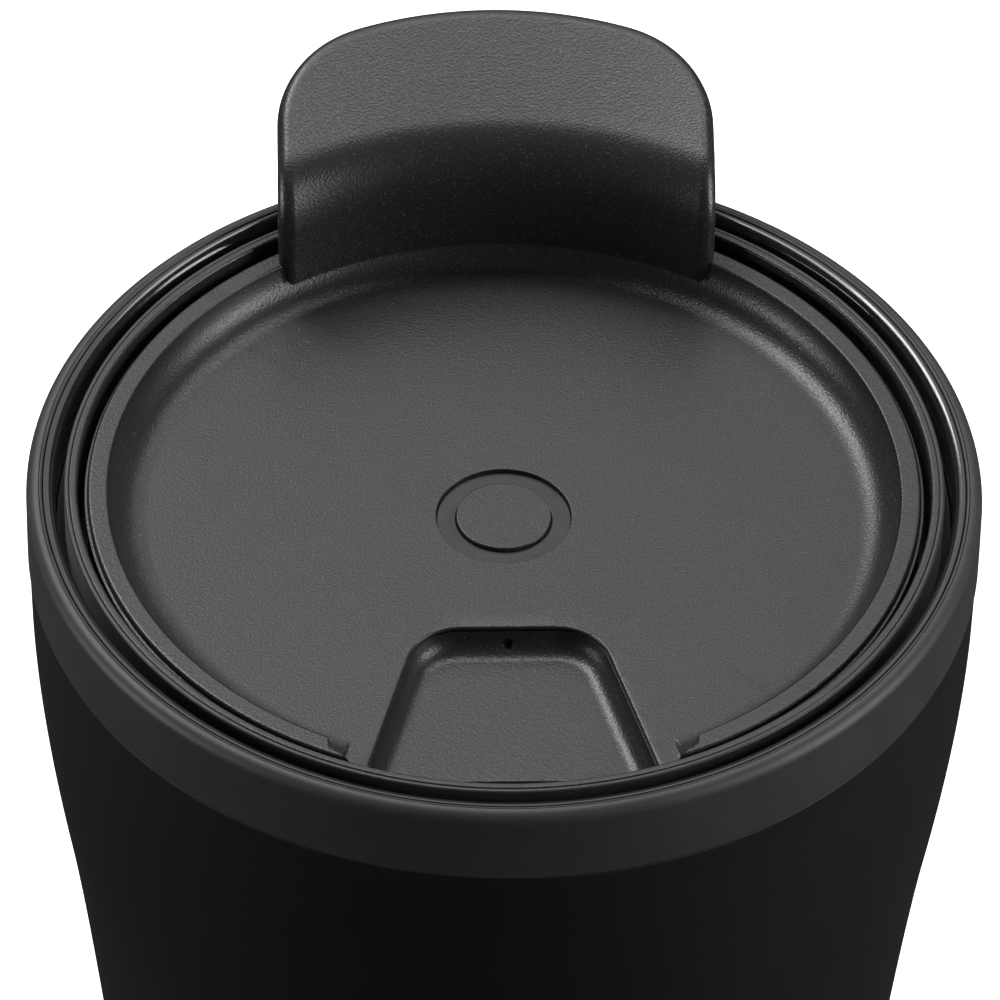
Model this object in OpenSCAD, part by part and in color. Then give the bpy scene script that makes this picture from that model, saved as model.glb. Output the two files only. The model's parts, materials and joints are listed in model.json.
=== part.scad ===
// Insulated tumbler with a press-in lid whose turning disc opens and closes the drinking slot.
// Millimetres, +Z up. The origin is the centre of the face that the cup stands on.
// The drinking notch faces -Y and the thumb tab is at +Y, which is the open, drinking position.

/* [Cup] */
// Height from the resting face to the top of the collar
cup_h = 132; // [126:1:145]
// Radius at the collar, the widest part of the cup
cup_r = 44; // [43:0.5:46]
// Radius at the foot, where the tapered side ends
foot_r = 32.2; // [31:0.1:33]
// Thickness of the steel sheet of both walls
sheet_t = 0.5; // [0.4:0.05:0.6]
// Radial gap between the two walls, kept under vacuum
vacuum_gap = 3.2; // [2.8:0.1:3.4]
// Height of the cup's inner floor above the resting face
cup_floor_z = 8; // [8:0.5:10]

/* [Collar] */
// Height of the matte collar around the mouth
collar_h = 7.9; // [7:0.1:9]
// Radial thickness of the collar
collar_t = 1.5; // [1.4:0.1:1.6]
// Radius of the collar's rounded top edge
collar_round = 1.1; // [0.8:0.1:1.2]

/* [Lid] */
// How far the disc's lip lies below the top of the collar
lip_drop = 1; // [0.8:0.1:1.4]
// Radial width of the ridge that rings the disc, gasket included
ridge_w = 1.2; // [1.1:0.1:1.3]
// Height of the ridge above the disc's lip
ridge_rise = 0.8; // [0.6:0.1:0.9]
// Open gap between the steel rim and the ridge
rim_gap = 0.8; // [0.7:0.1:0.9]
// Open gap between the ridge and the turning disc
disc_gap = 0.9; // [0.8:0.1:1]
// Width of the disc's flat lip
lip_w = 1.9; // [1.7:0.1:2]
// Depth of the dished disc, from its lip to its floor
bowl_depth = 3.8; // [3.7:0.1:4.2]
// Radius of the cove between the dish's wall and its floor
cove_r = 3.7; // [3:0.1:3.7]
// Angle on each side of -Y over which the lip is cut away
lip_cut_angle = 26.5; // [25:0.5:28]

/* [Thumb tab] */
// Half of the tab's width
tab_half = 20.6; // [19:0.1:22]
// Thickness of the tab
tab_t = 2.2; // [1.8:0.1:2.4]
// How far the tab's upright wall stands in from the dish's edge
tab_proud = 0.7; // [0.4:0.1:0.8]
// Height above the lip at which the upright wall starts to bend
tab_wall_h = 4.2; // [4:0.1:5]
// Outer radius of the bend between the wall and the ledge
tab_bend_r = 6; // [5:0.1:6.5]
// Slope of the ledge
tab_slope = 17.5; // [15:0.5:20]
// Distance from the lid's axis to the middle of the ledge's outer edge
tab_reach = 52.4; // [50:0.2:54]
// Radius of the ledge's outer edge, seen from above
tab_end_r = 36; // [32:1:50]
// Radius of the ledge's two outer corners, seen from above
tab_corner_r = 12; // [9:0.5:13]

/* [Drinking notch] */
// Distance from the axis to the notch's back edge
notch_back = 14.8; // [14:0.1:15.2]
// Half of the notch's width where its sides and back edge would meet
notch_half = 8.1; // [7.8:0.1:8.4]
// Angle between each side of the notch and the Y axis
notch_angle = 15.6; // [14:0.1:16.2]
// Radius of the notch's back corners
notch_corner_r = 5; // [4.6:0.1:5.4]
// Depth of the sip well below the dish's floor
well_depth = 2.4; // [2.2:0.1:2.6]
// Length of the drinking slot, end to end
slot_len = 12; // [11:0.5:12.5]
// Width of the drinking slot
slot_w = 4.4; // [4.3:0.1:4.5]
// Distance from the axis to the drinking slot
slot_y = 33.7; // [33.4:0.1:33.8]

/* [Pivot] */
// Radius of the recess around the pivot
pivot_recess_r = 6.25; // [6:0.05:6.5]
// Depth of the glossy ring below the dish's floor
pivot_recess = 0.4; // [0.3:0.05:0.5]
// Radius of the cap over the screw
pivot_cap_r = 4.4; // [4.3:0.05:4.5]
// Radius of the hub that the disc turns on
hub_r = 5.15; // [5.1:0.05:5.2]
// Radius of the screw's thread
screw_r = 1.5; // [1.4:0.05:1.5]

/* [Closing] */
// How far the disc turns from open to closed
turn_angle = 90; // [80:5:90]
// Distance from the axis to the stop pin
stop_pin_y = 24; // [22:0.5:26]
// Radius of the stop pin
stop_pin_r = 1.2; // [1:0.1:1.4]

/* [Hidden] */
$fn = 96;

// Clearances
slide_fit = 0.05;
bearing_fit = 0.07;
end_float = 0.1;

// Colours
coat_black = [0.09, 0.095, 0.1];
collar_black = [0.17, 0.175, 0.17];
lid_black = [0.3, 0.31, 0.3];
silicone_black = [0.12, 0.12, 0.12];
steel = [0.75, 0.76, 0.78];
brass = [0.78, 0.62, 0.3];
copper = [0.76, 0.45, 0.3];

// Heights of the cup
weld_z = 6;
foot_z = 3;
foot_round = 2.2;
foot_ring_z = foot_z - foot_round;
neck_z = cup_h - collar_h;
rim_z = cup_h - 0.1;
pad_r = 27.5;
pad_fit = 0.1;
recess_z = 2.2;

// Radii of the cup's mouth, from the outside in
rim_r = cup_r - collar_t;
rim_bead_r = 0.6;
seat_r = rim_r - 2 * rim_bead_r;
ridge_r = seat_r - rim_gap;
ridge_in_r = ridge_r - ridge_w;
lip_r = ridge_in_r - disc_gap;
dish_r = lip_r - lip_w;

// Heights of the lid, from its lip down
lip_z = cup_h - lip_drop;
ridge_z = lip_z + ridge_rise;
dish_z = lip_z - bowl_depth;
seam_z = dish_z - 0.5;
plate_z = dish_z - 1.6;
well_z = dish_z - well_depth;
well_under_z = well_z - 1.4;
deck_z = well_under_z - 0.4;
deck_under_z = deck_z - 1.8;
foam_under_z = deck_under_z - 3.6;
cover_under_z = foam_under_z - 1.5;

// The disc's skirt with its bead below the lip, and the lid base's wall
flange_r = lip_r + 0.25;
flange_z = lip_z - 0.9;
flange_h = 0.3;
skirt_in_r = lip_r - 1;
wiper_groove_r = lip_r - 0.5;
wiper_z = well_under_z + 0.3;
wiper_h = 0.8;
base_wall_r = ridge_in_r + 0.75;
cover_r = ridge_in_r - 0.7;
lid_shelf_z = deck_under_z - 0.4;
gasket_key_r = base_wall_r - 0.8;
gasket_key_z = deck_z - 1.3;
gasket_key_h = 0.7;

// The well under the notch, and the seal around its slot
well_wall = 1.2;
seal_z = well_under_z - 0.35;
seal_h = 1;
seal_w = 0.7;
seal_in = 0.3;
vent_r = 0.6;
vent_z = dish_z - 1.3;
vent_drop_y = notch_back - 2.6;

// The pivot's stack, from the cap down
pivot_ring_z = dish_z - pivot_recess;
hub_z = pivot_ring_z - 1;
pivot_floor_z = hub_z - 0.9;
insert_z = pivot_floor_z - 0.4;
insert_r = 3;
insert_end_z = deck_under_z - 2.6;
boss_r = 5;
screw_head_r = 2.75;
o_ring_t = 0.4;
o_ring_proud = 0.03;
o_ring_r = hub_r + o_ring_proud - o_ring_t;
o_ring_z = insert_z - 0.65;
disc_bore_r = hub_r + bearing_fit;
disc_boss_r = 9;
boss_under_z = well_under_z + 0.05;
pivot_well_r = 3.3;
cap_seat_z = pivot_ring_z - 0.6;
screw_head_h = cap_seat_z - 0.15 - pivot_floor_z;
cap_edge = 0.15;
cap_fit = 0.06;
snap_t = 0.4;
snap_depth = 0.8;

// Where the stop, the vent and the closure are, seen from above
stop_angle = 135;
base_vent_at = 16 * [cos(45), sin(45)];
drink_angle = -90;

// Side of the cup: upright under the collar, then a soft shoulder, then a taper that eases towards the foot
side_top = [cup_r - 0.3, cup_h - 15];
side_shoulder = [cup_r - 0.6, cup_h - 25.6];
side_mid = [cup_r - 3.05, cup_h - 41];
side_taper = [cup_r - 6.05, cup_h - 61];
side_foot = [foot_r, foot_z];

function tail(points) = [for (i = [1:len(points) - 1]) points[i]];
function curve(a, b, c, steps = 10) = [for (i = [0:steps])
    let (t = i / steps) pow(1 - t, 2) * a + 2 * t * (1 - t) * b + pow(t, 2) * c];
function arc(centre, r, from, to, steps = 8) = [for (i = [0:steps])
    let (a = from + (to - from) * i / steps) centre + r * [cos(a), sin(a)]];

side = concat(curve(side_top, side_shoulder, side_mid), tail(curve(side_mid, side_taper, side_foot)));
function side_r(z) = lookup(z, [for (p = side) [p[1], p[0]]]);

// Inner wall of the cup
liner_inset = 2 * sheet_t + vacuum_gap;
liner_bend_r = 12;
liner_side = [for (p = side) if (p[1] > cup_floor_z + liner_bend_r) p - [liner_inset, 0]];
liner_foot_r = side_r(cup_floor_z + liner_bend_r) - liner_inset;
shield_t = 0.2;
shield_top_z = 104;

// Filled half profile of the cup's outside, drawn in by d, with the neck that the collar sits on
module outer_profile(d, top_z) {
    polygon(concat(
        [[0, top_z], [rim_r - d, top_z], [rim_r - d, neck_z - d], [cup_r - 0.15 - d, neck_z - d]],
        [for (p = side) p - [d, 0]],
        arc([foot_r - foot_round, foot_z], foot_round - d, 0, -90),
        [[0, foot_ring_z + d]]));
}

// Filled half profile of the cup's inside, pushed out by d
module inner_profile(d) {
    seat_top_z = rim_z - rim_bead_r;
    polygon(concat(
        [[0, seat_top_z], [seat_r + d, seat_top_z], [seat_r + d, lid_shelf_z - d]],
        [[liner_side[0][0] + d, lid_shelf_z - d]],
        [for (p = liner_side) p + [d, 0]],
        arc([liner_foot_r - liner_bend_r, cup_floor_z + liner_bend_r], liner_bend_r + d, 0, -90),
        [[0, cup_floor_z - d]]));
}

// Half profile of the recess under the cup that the pad sits in, pushed out by d
module pad_recess(d) {
    square([pad_r + pad_fit + d, recess_z + d]);
}

// A slot with round ends, lying along X
module round_slot(len, w, h) {
    half = (len - w) / 2;
    translate([-half, -w / 2, 0]) cube([2 * half, w, h]);
    for (x = [-half, half]) translate([x, 0, 0]) cylinder(d = w, h = h);
}

// The drinking slot's place, with the slot grown by d on every side
module at_slot(from_z, to_z, d) {
    translate([0, -slot_y, from_z]) round_slot(slot_len + 2 * d, slot_w + 2 * d, to_z - from_z);
}

// Outline of the notch, open towards -Y and grown by d
module notch_outline(d) {
    r = notch_corner_r;
    corner_x = notch_half - r * (1 - sin(notch_angle)) / cos(notch_angle);
    corner_y = -notch_back - r;
    front_y = -cup_r;
    front_x = notch_half + d / cos(notch_angle) + (-front_y - notch_back) * tan(notch_angle);
    polygon(concat(
        [[front_x, front_y]],
        arc([corner_x, corner_y], r + d, notch_angle, 90),
        arc([-corner_x, corner_y], r + d, 90, 180 - notch_angle),
        [[-front_x, front_y]]));
}

module outer_shell() {
    color(coat_black) rotate_extrude() difference() {
        outer_profile(0, rim_z - 2 * rim_bead_r);
        outer_profile(sheet_t, cup_h);
        square([cup_r, weld_z]);
    }
}

module inner_liner() {
    color(steel) union() {
        rotate_extrude() difference() {
            inner_profile(sheet_t);
            inner_profile(0);
        }
        rotate_extrude() translate([rim_r - rim_bead_r, rim_z - rim_bead_r]) circle(rim_bead_r);
    }
}

module base_plate() {
    plug_hole_r = 1.5;
    color(coat_black) rotate_extrude() difference() {
        outer_profile(0, neck_z);
        pad_recess(0);
        difference() {
            outer_profile(sheet_t, neck_z);
            pad_recess(sheet_t);
        }
        translate([0, weld_z]) square([cup_r, cup_h]);
        square([plug_hole_r, weld_z]);
    }
}

module vacuum_plug() {
    color(steel) translate([0, 0, recess_z]) {
        cylinder(r = 1.5, h = sheet_t);
        translate([0, 0, sheet_t]) cylinder(r1 = 3, r2 = 2.2, h = 0.7);
    }
}

module getter() {
    getter_h = 1.2;
    color(steel) translate([0, 0, cup_floor_z - sheet_t - shield_t - getter_h]) difference() {
        cylinder(r = 6, h = getter_h);
        translate([0, 0, -1]) cylinder(r = 4.6, h = 1.7);
    }
}

module copper_shield() {
    color(copper) rotate_extrude() difference() {
        inner_profile(sheet_t + shield_t);
        inner_profile(sheet_t);
        translate([0, shield_top_z]) square([cup_r, cup_h]);
    }
}

module collar() {
    color(collar_black) rotate_extrude() polygon(concat(
        [[rim_r, neck_z], [cup_r - 0.2, neck_z], [cup_r, neck_z + 0.3]],
        arc([cup_r - collar_round, cup_h - collar_round], collar_round, 0, 90),
        [[rim_r + 0.1, cup_h], [rim_r, cup_h - 0.1]]));
}

module base_pad() {
    groove_w = 1.2;
    color(silicone_black) difference() {
        cylinder(r = pad_r, h = recess_z);
        for (r = [14:5:24]) translate([0, 0, -1]) difference() {
            cylinder(r = r + groove_w, h = 1.5);
            cylinder(r = r, h = 1.5);
        }
    }
}

module lid_base() {
    chute_wall = 1;
    color(lid_black) difference() {
        union() {
            rotate_extrude() difference() {
                union() {
                    translate([0, deck_under_z]) square([base_wall_r, deck_z - deck_under_z]);
                    translate([ridge_in_r, deck_z])
                        square([base_wall_r - ridge_in_r, ridge_z - 0.2 - deck_z]);
                    polygon([[ridge_in_r, ridge_z - 0.2], [base_wall_r, ridge_z - 0.2],
                        [base_wall_r - 0.1, ridge_z], [ridge_in_r + 0.15, ridge_z]]);
                    translate([0, deck_z]) square([hub_r, hub_z - deck_z]);
                }
                translate([gasket_key_r, gasket_key_z]) square([base_wall_r, gasket_key_h]);
                translate([o_ring_r - o_ring_t - 0.02, o_ring_z - o_ring_t])
                    square([hub_r, 2 * o_ring_t]);
            }
            translate([0, 0, foam_under_z]) cylinder(r = boss_r, h = deck_under_z - foam_under_z);
            translate([base_vent_at[0], base_vent_at[1], cover_under_z])
                cylinder(r = 1.8, h = deck_under_z - cover_under_z);
            at_slot(cover_under_z, deck_under_z, chute_wall);
        }
        at_slot(cover_under_z - 1, deck_z + 1, 0);
        translate([base_vent_at[0], base_vent_at[1], cover_under_z - 1])
            cylinder(r = vent_r, h = deck_z - cover_under_z + 2);
        translate([0, 0, insert_end_z]) cylinder(r = insert_r, h = hub_z);
        translate([0, 0, insert_z]) cylinder(r = pivot_well_r + 0.85, h = hub_z);
        stop_groove();
    }
}

// Groove in the deck that the disc's stop pin runs in, round at both ends
module stop_groove() {
    groove_r = stop_pin_r + end_float;
    groove_z = deck_z - 0.9;
    translate([0, 0, groove_z]) {
        rotate([0, 0, stop_angle]) rotate_extrude(angle = turn_angle)
            translate([stop_pin_y - groove_r, 0]) square([2 * groove_r, 2]);
        for (a = [stop_angle, stop_angle + turn_angle]) rotate([0, 0, a])
            translate([stop_pin_y, 0, 0]) cylinder(r = groove_r, h = 2);
    }
}

// Sleeve around the lid base with three sealing lips, a key in the deck's groove and a foot
module lid_gasket() {
    lip_tip_r = seat_r - slide_fit;
    lip_h = 1;
    color(silicone_black) rotate_extrude() {
        translate([base_wall_r, deck_under_z])
            square([ridge_r - base_wall_r, ridge_z - 0.25 - deck_under_z]);
        polygon([[base_wall_r, ridge_z - 0.25], [ridge_r, ridge_z - 0.25],
            [ridge_r - 0.15, ridge_z - 0.05], [base_wall_r, ridge_z - 0.05]]);
        for (z = [lip_z - 3.5, lip_z - 6, lip_z - 8.5])
            polygon([[ridge_r - 0.1, z - lip_h], [ridge_r, z - lip_h], [lip_tip_r, z - 0.3],
                [lip_tip_r, z], [ridge_r, z - 0.2], [ridge_r - 0.1, z - 0.2]]);
        translate([gasket_key_r, gasket_key_z]) square([ridge_r - gasket_key_r, gasket_key_h]);
        translate([base_wall_r - 1, deck_under_z - 0.3]) square([lip_tip_r - base_wall_r + 1, 0.3]);
        translate([base_wall_r, deck_under_z - 0.3]) square([lip_tip_r - base_wall_r, 0.7]);
    }
}

module foam_insert() {
    color([0.8, 0.79, 0.74]) difference() {
        translate([0, 0, foam_under_z]) cylinder(r = cover_r - 1.1, h = deck_under_z - foam_under_z);
        translate([0, 0, foam_under_z - 1]) cylinder(r = boss_r + 0.1, h = 8);
        at_slot(foam_under_z - 1, deck_z, 1.1);
        translate([base_vent_at[0], base_vent_at[1], foam_under_z - 1]) cylinder(r = 1.9, h = 8);
    }
}

// Pan that closes the lid from below, around the chute and the vent tube
module lid_bottom_cover() {
    color(lid_black) difference() {
        rotate_extrude() difference() {
            polygon([[0, cover_under_z], [cover_r - 1, cover_under_z], [cover_r, cover_under_z + 1],
                [cover_r, deck_under_z - 0.3], [0, deck_under_z - 0.3]]);
            translate([0, foam_under_z]) square([cover_r - 1, cup_h]);
        }
        at_slot(cover_under_z - 1, foam_under_z + 1, 1);
        translate([base_vent_at[0], base_vent_at[1], cover_under_z - 1]) cylinder(r = 1.8, h = 4);
    }
}

// Threaded brass insert in the hub
module pivot_insert() {
    color(brass) rotate_extrude() difference() {
        translate([screw_r, insert_end_z]) square([insert_r - screw_r, insert_z - insert_end_z]);
        for (z = [insert_end_z + 1.2, insert_end_z + 3.2])
            translate([insert_r - 0.3, z]) square([1, 0.7]);
    }
}

module pivot_screw() {
    socket_d = 2.3;
    color(steel) difference() {
        union() {
            translate([0, 0, insert_end_z + 0.4])
                cylinder(r = screw_r, h = pivot_floor_z - insert_end_z - 0.4);
            translate([0, 0, pivot_floor_z]) cylinder(r = screw_head_r, h = screw_head_h);
        }
        translate([0, 0, pivot_floor_z + 0.3]) cylinder(d = socket_d, h = 2, $fn = 6);
    }
}

// Low-friction washer between the disc's boss and the deck
module pivot_washer() {
    color([0.85, 0.85, 0.82]) translate([0, 0, deck_z]) difference() {
        cylinder(r = disc_boss_r - 0.5, h = 0.35);
        translate([0, 0, -1]) cylinder(r = hub_r, h = 3);
    }
}

module hub_o_ring() {
    color(silicone_black) rotate_extrude() translate([o_ring_r, o_ring_z]) circle(o_ring_t);
}

// Retaining ring: its flange holds the disc down, its cup holds the screw's head
module pivot_ring() {
    cup_wall_r = pivot_well_r + 0.85;
    color([0.24, 0.24, 0.24]) rotate_extrude() difference() {
        union() {
            translate([0, hub_z]) square([pivot_recess_r - 0.05, pivot_ring_z - hub_z]);
            translate([0, insert_z]) square([cup_wall_r, hub_z - insert_z]);
        }
        square([screw_r + 0.1, cup_h]);
        translate([0, pivot_floor_z]) square([pivot_well_r, cup_h]);
        translate([0, cap_seat_z]) square([pivot_cap_r + cap_fit, cup_h]);
    }
}

module pivot_cap() {
    color(lid_black) rotate_extrude() union() {
        polygon([[0, cap_seat_z], [pivot_cap_r, cap_seat_z], [pivot_cap_r, dish_z - cap_edge],
            [pivot_cap_r - cap_edge, dish_z], [0, dish_z]]);
        translate([screw_head_r + 0.1, cap_seat_z - snap_depth]) square([snap_t, snap_depth]);
    }
}

// Half profile of the turning disc: dish, lip, skirt and pivot boss
module disc_profile() {
    difference() {
        polygon([
            [disc_bore_r, boss_under_z], [disc_boss_r, boss_under_z], [disc_boss_r, plate_z],
            [skirt_in_r, plate_z], [skirt_in_r, well_under_z], [lip_r, well_under_z],
            [lip_r, flange_z - 0.2], [flange_r, flange_z], [flange_r, flange_z + flange_h],
            [lip_r, flange_z + flange_h], [lip_r, lip_z - 0.2], [lip_r - 0.2, lip_z], [dish_r, lip_z],
            [disc_bore_r, lip_z]]);
        polygon(concat(
            [[0, cup_h], [0, dish_z]],
            arc([dish_r - cove_r, dish_z + cove_r], cove_r, -90, 0),
            [[dish_r, cup_h]]));
        square([pivot_recess_r, cup_h * 2]);
        translate([wiper_groove_r, wiper_z]) square([5, wiper_h]);
    }
    translate([disc_bore_r, boss_under_z])
        square([disc_boss_r - disc_bore_r, hub_z - end_float - boss_under_z]);
}

// Half profile of the thumb tab: upright wall, bend and sloping ledge
module tab_profile() {
    front_r = dish_r - tab_proud;
    bend_at = [front_r + tab_bend_r, lip_z + tab_wall_h];
    in_r = tab_bend_r - tab_t;
    end_angle = 90 + tab_slope;
    ledge = 20 * [cos(tab_slope), sin(tab_slope)];
    out_end = bend_at + tab_bend_r * [cos(end_angle), sin(end_angle)];
    in_end = bend_at + in_r * [cos(end_angle), sin(end_angle)];
    polygon(concat(
        [[front_r, lip_z - 3]],
        arc(bend_at, tab_bend_r, 180, end_angle),
        [out_end + ledge, in_end + ledge],
        arc(bend_at, in_r, end_angle, 180),
        [[front_r + tab_t, lip_z - 3]]));
}

// Outline of the tab from above: straight sides, a gently curved outer edge and round corners
module tab_outline() {
    r = tab_corner_r;
    end_y = tab_reach - tab_end_r;
    corner_x = tab_half - r;
    rise = sqrt(pow(tab_end_r - r, 2) - pow(corner_x, 2));
    corner_y = end_y + rise;
    corner_dir = atan2(rise, corner_x);
    polygon(concat(
        [[tab_half, 0]],
        arc([corner_x, corner_y], r, 0, corner_dir),
        tail(arc([0, end_y], tab_end_r, corner_dir, 180 - corner_dir, 12)),
        tail(arc([-corner_x, corner_y], r, 180 - corner_dir, 180)),
        [[-tab_half, 0]]));
}

module turn_disc() {
    color(lid_black) difference() {
        union() {
            rotate_extrude() disc_profile();
            intersection() {
                rotate_extrude() tab_profile();
                linear_extrude(2 * cup_h) tab_outline();
            }
            rotate([0, 0, stop_angle]) translate([stop_pin_y, 0, deck_z - 0.7])
                cylinder(r = stop_pin_r, h = plate_z + 0.5 - deck_z + 0.7);
        }
        translate([0, 0, well_z]) linear_extrude(cup_h) notch_outline(0);
        translate([0, 0, dish_z]) rotate([0, 0, drink_angle - lip_cut_angle])
            rotate_extrude(angle = 2 * lip_cut_angle)
                translate([dish_r - cove_r - 1, 0]) square([cove_r + lip_w + 4, cup_h]);
        intersection() {
            translate([0, 0, well_under_z - 1]) linear_extrude(seam_z - well_under_z + 1)
                notch_outline(well_wall);
            cylinder(r = skirt_in_r, h = cup_h);
        }
        translate([0, -notch_back, vent_z]) rotate([-90, 0, 0])
            translate([0, 0, -2]) cylinder(r = vent_r, h = 2 + notch_back - vent_drop_y);
        translate([0, -vent_drop_y, plate_z - 1]) cylinder(r = vent_r, h = vent_z - plate_z + 1);
    }
}

// Tray under the notch with walls coved in steps, the drinking slot and the vent's mouth
module sip_well() {
    steps = 4;
    cove_inset = function (h) well_depth - sqrt(pow(well_depth, 2) - pow(well_depth - h, 2));
    color(lid_black) difference() {
        intersection() {
            translate([0, 0, well_under_z]) linear_extrude(seam_z - well_under_z)
                notch_outline(well_wall - slide_fit);
            cylinder(r = skirt_in_r - slide_fit, h = cup_h);
        }
        for (h = [0:well_depth / steps:well_depth - 0.5])
            translate([0, 0, well_z + h]) linear_extrude(cup_h) notch_outline(-cove_inset(h + 0.3));
        at_slot(well_under_z - 1, well_z + 1, 0);
        seal_groove();
        translate([0, -notch_back - 2, vent_z]) rotate([-90, 0, 0]) cylinder(r = vent_r, h = 5);
    }
}

// Groove around the slot, on the underside of the well
module seal_groove() {
    difference() {
        at_slot(well_under_z - 1, seal_z + seal_h, seal_in + seal_w);
        at_slot(well_under_z - 2, seal_z + seal_h + 1, seal_in);
    }
}

module slot_seal() {
    color(silicone_black) difference() {
        at_slot(seal_z, seal_z + seal_h, seal_in + seal_w);
        at_slot(seal_z - 1, seal_z + seal_h + 1, seal_in);
    }
}

// Pad under the disc that covers the drinking hole once the disc is turned
module closure_pad() {
    pad_h = plate_z - seal_z;
    color(silicone_black) rotate([0, 0, -turn_angle]) difference() {
        at_slot(seal_z, seal_z + pad_h, seal_in + seal_w);
        at_slot(seal_z - 1, seal_z + 0.6, seal_in);
    }
}

// Pad under the disc that covers the vent once the disc is turned
module vent_plug() {
    color(silicone_black) rotate([0, 0, -turn_angle])
        translate([base_vent_at[0], base_vent_at[1], seal_z]) cylinder(r = 2.2, h = plate_z - seal_z);
}

// Ring in the skirt's groove that seals the disc against the lid base's wall
module wiper_ring() {
    in_r = wiper_groove_r;
    tip_r = ridge_in_r - slide_fit;
    color(silicone_black) rotate_extrude() polygon([[in_r, wiper_z], [lip_r, wiper_z],
        [tip_r, wiper_z + 0.25], [tip_r, wiper_z + 0.55], [lip_r, wiper_z + wiper_h],
        [in_r, wiper_z + wiper_h]]);
}

outer_shell();
inner_liner();
base_plate();
vacuum_plug();
getter();
copper_shield();
collar();
base_pad();
lid_base();
lid_gasket();
foam_insert();
lid_bottom_cover();
pivot_insert();
pivot_screw();
pivot_washer();
hub_o_ring();
pivot_ring();
pivot_cap();
turn_disc();
sip_well();
slot_seal();
closure_pad();
vent_plug();
wiper_ring();
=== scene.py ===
import json
from math import cos, radians, sin, sqrt, tan, tau

import bmesh
import bpy
from mathutils import Matrix, Vector


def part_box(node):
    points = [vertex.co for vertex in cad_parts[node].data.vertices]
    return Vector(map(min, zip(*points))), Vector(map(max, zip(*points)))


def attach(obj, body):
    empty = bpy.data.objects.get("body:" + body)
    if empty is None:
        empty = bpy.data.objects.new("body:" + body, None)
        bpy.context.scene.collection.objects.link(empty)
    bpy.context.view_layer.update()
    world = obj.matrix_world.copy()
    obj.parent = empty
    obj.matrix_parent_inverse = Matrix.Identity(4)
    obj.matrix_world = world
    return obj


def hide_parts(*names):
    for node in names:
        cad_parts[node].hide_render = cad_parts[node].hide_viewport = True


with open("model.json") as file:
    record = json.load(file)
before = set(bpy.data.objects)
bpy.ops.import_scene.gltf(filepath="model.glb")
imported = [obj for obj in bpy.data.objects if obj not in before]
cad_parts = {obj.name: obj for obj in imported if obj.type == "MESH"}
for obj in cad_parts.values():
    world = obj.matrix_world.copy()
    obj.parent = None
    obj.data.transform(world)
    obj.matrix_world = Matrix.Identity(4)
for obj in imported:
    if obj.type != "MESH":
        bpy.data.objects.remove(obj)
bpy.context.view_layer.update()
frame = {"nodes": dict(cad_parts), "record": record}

MM = 0.001

# ---------------------------------------------------------------- sizes, in millimetres


def low(node, axis):
    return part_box(node)[0][axis] / MM


def high(node, axis):
    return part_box(node)[1][axis] / MM


CUP_TOP = high("collar", 2)
CUP_R = high("collar", 0)
NECK = low("collar", 2)
RIM_R = high("inner_liner", 0)
RIM_TOP = high("inner_liner", 2)
RIM_BEAD = 0.6
SEAT_R = RIM_R - 2 * RIM_BEAD
BASE_WALL_R = high("lid_base", 0)
RIDGE_TOP = high("lid_base", 2)
RIDGE_IN = BASE_WALL_R - 0.75
RIDGE_OUT = BASE_WALL_R + 0.45

# the disc: top of its lip, the lip's radii, the dish and its cove, the plate and the skirt
LIP = CUP_TOP - 1
LIP_R = RIDGE_IN - 0.9
LIP_W = 1.9
DISH_R = LIP_R - LIP_W
DISH_Z = high("pivot_cap", 2)
COVE = 3.7
PLATE_Z = DISH_Z - 1.6
SKIRT_IN = LIP_R - 1

# the thumb tab: half width, front face, sheet, bend, slope in degrees, and the round outer edge and corners
TAB_HALF = 20.6
TAB_FRONT = DISH_R - 0.7
TAB_T = 2.2
TAB_BEND = 6
TAB_BEND_Z = LIP + 4.2
TAB_SLOPE = 17.5
TAB_REACH = high("turn_disc", 1)
TAB_END = 36
TAB_CORNER = 12

# the notch and the well under it
NOTCH_BACK = 14.8
NOTCH_HALF = 8.1
NOTCH_ANGLE = 15.6
NOTCH_CORNER = 5
WELL_UNDER = low("sip_well", 2)
WELL_Z = WELL_UNDER + 1.4
WELL_WALL = 1.2
SEAM_Z = high("sip_well", 2)

# ---------------------------------------------------------------- outlines


def arc(x, z, r, start, end, steps=8):
    """Points of an arc about (x, z), from one angle to the other in degrees."""
    angles = [radians(start + (end - start) * i / steps) for i in range(steps + 1)]
    return [(x + r * cos(a), z + r * sin(a)) for a in angles]


def bezier(a, b, c, steps=24):
    """Points of a quadratic curve from a to c, drawn towards b."""
    out = []
    for i in range(steps + 1):
        t = i / steps
        out.append(tuple((1 - t) ** 2 * p + 2 * t * (1 - t) * q + t * t * r for p, q, r in zip(a, b, c)))
    return out


def rounded(corners, closed=True, steps=5, hold=0.12):
    """Rounds corners given as (x, z, radius), with a point beyond each arc that keeps the flats flat."""
    out = []
    n = len(corners)
    for i, (x, z, r) in enumerate(corners):
        here = Vector((x, z))
        if r == 0 or (not closed and i in (0, n - 1)):
            out.append((x, z))
            continue
        before = (Vector(corners[i - 1][:2]) - here).normalized()
        after = (Vector(corners[(i + 1) % n][:2]) - here).normalized()
        half = before.angle(after) / 2
        reach = r / tan(half)
        a = here + before * reach
        b = here + after * reach
        out.append(tuple(a + before * hold))
        for k in range(steps + 1):
            t = k / steps
            # a circular arc as a rational curve between the two tangent points
            w = sin(half)
            d = (1 - t) ** 2 + 2 * t * (1 - t) * w + t * t
            out.append(tuple(((1 - t) ** 2 * a + 2 * t * (1 - t) * w * here + t * t * b) / d))
        out.append(tuple(b + after * hold))
    return out


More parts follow.
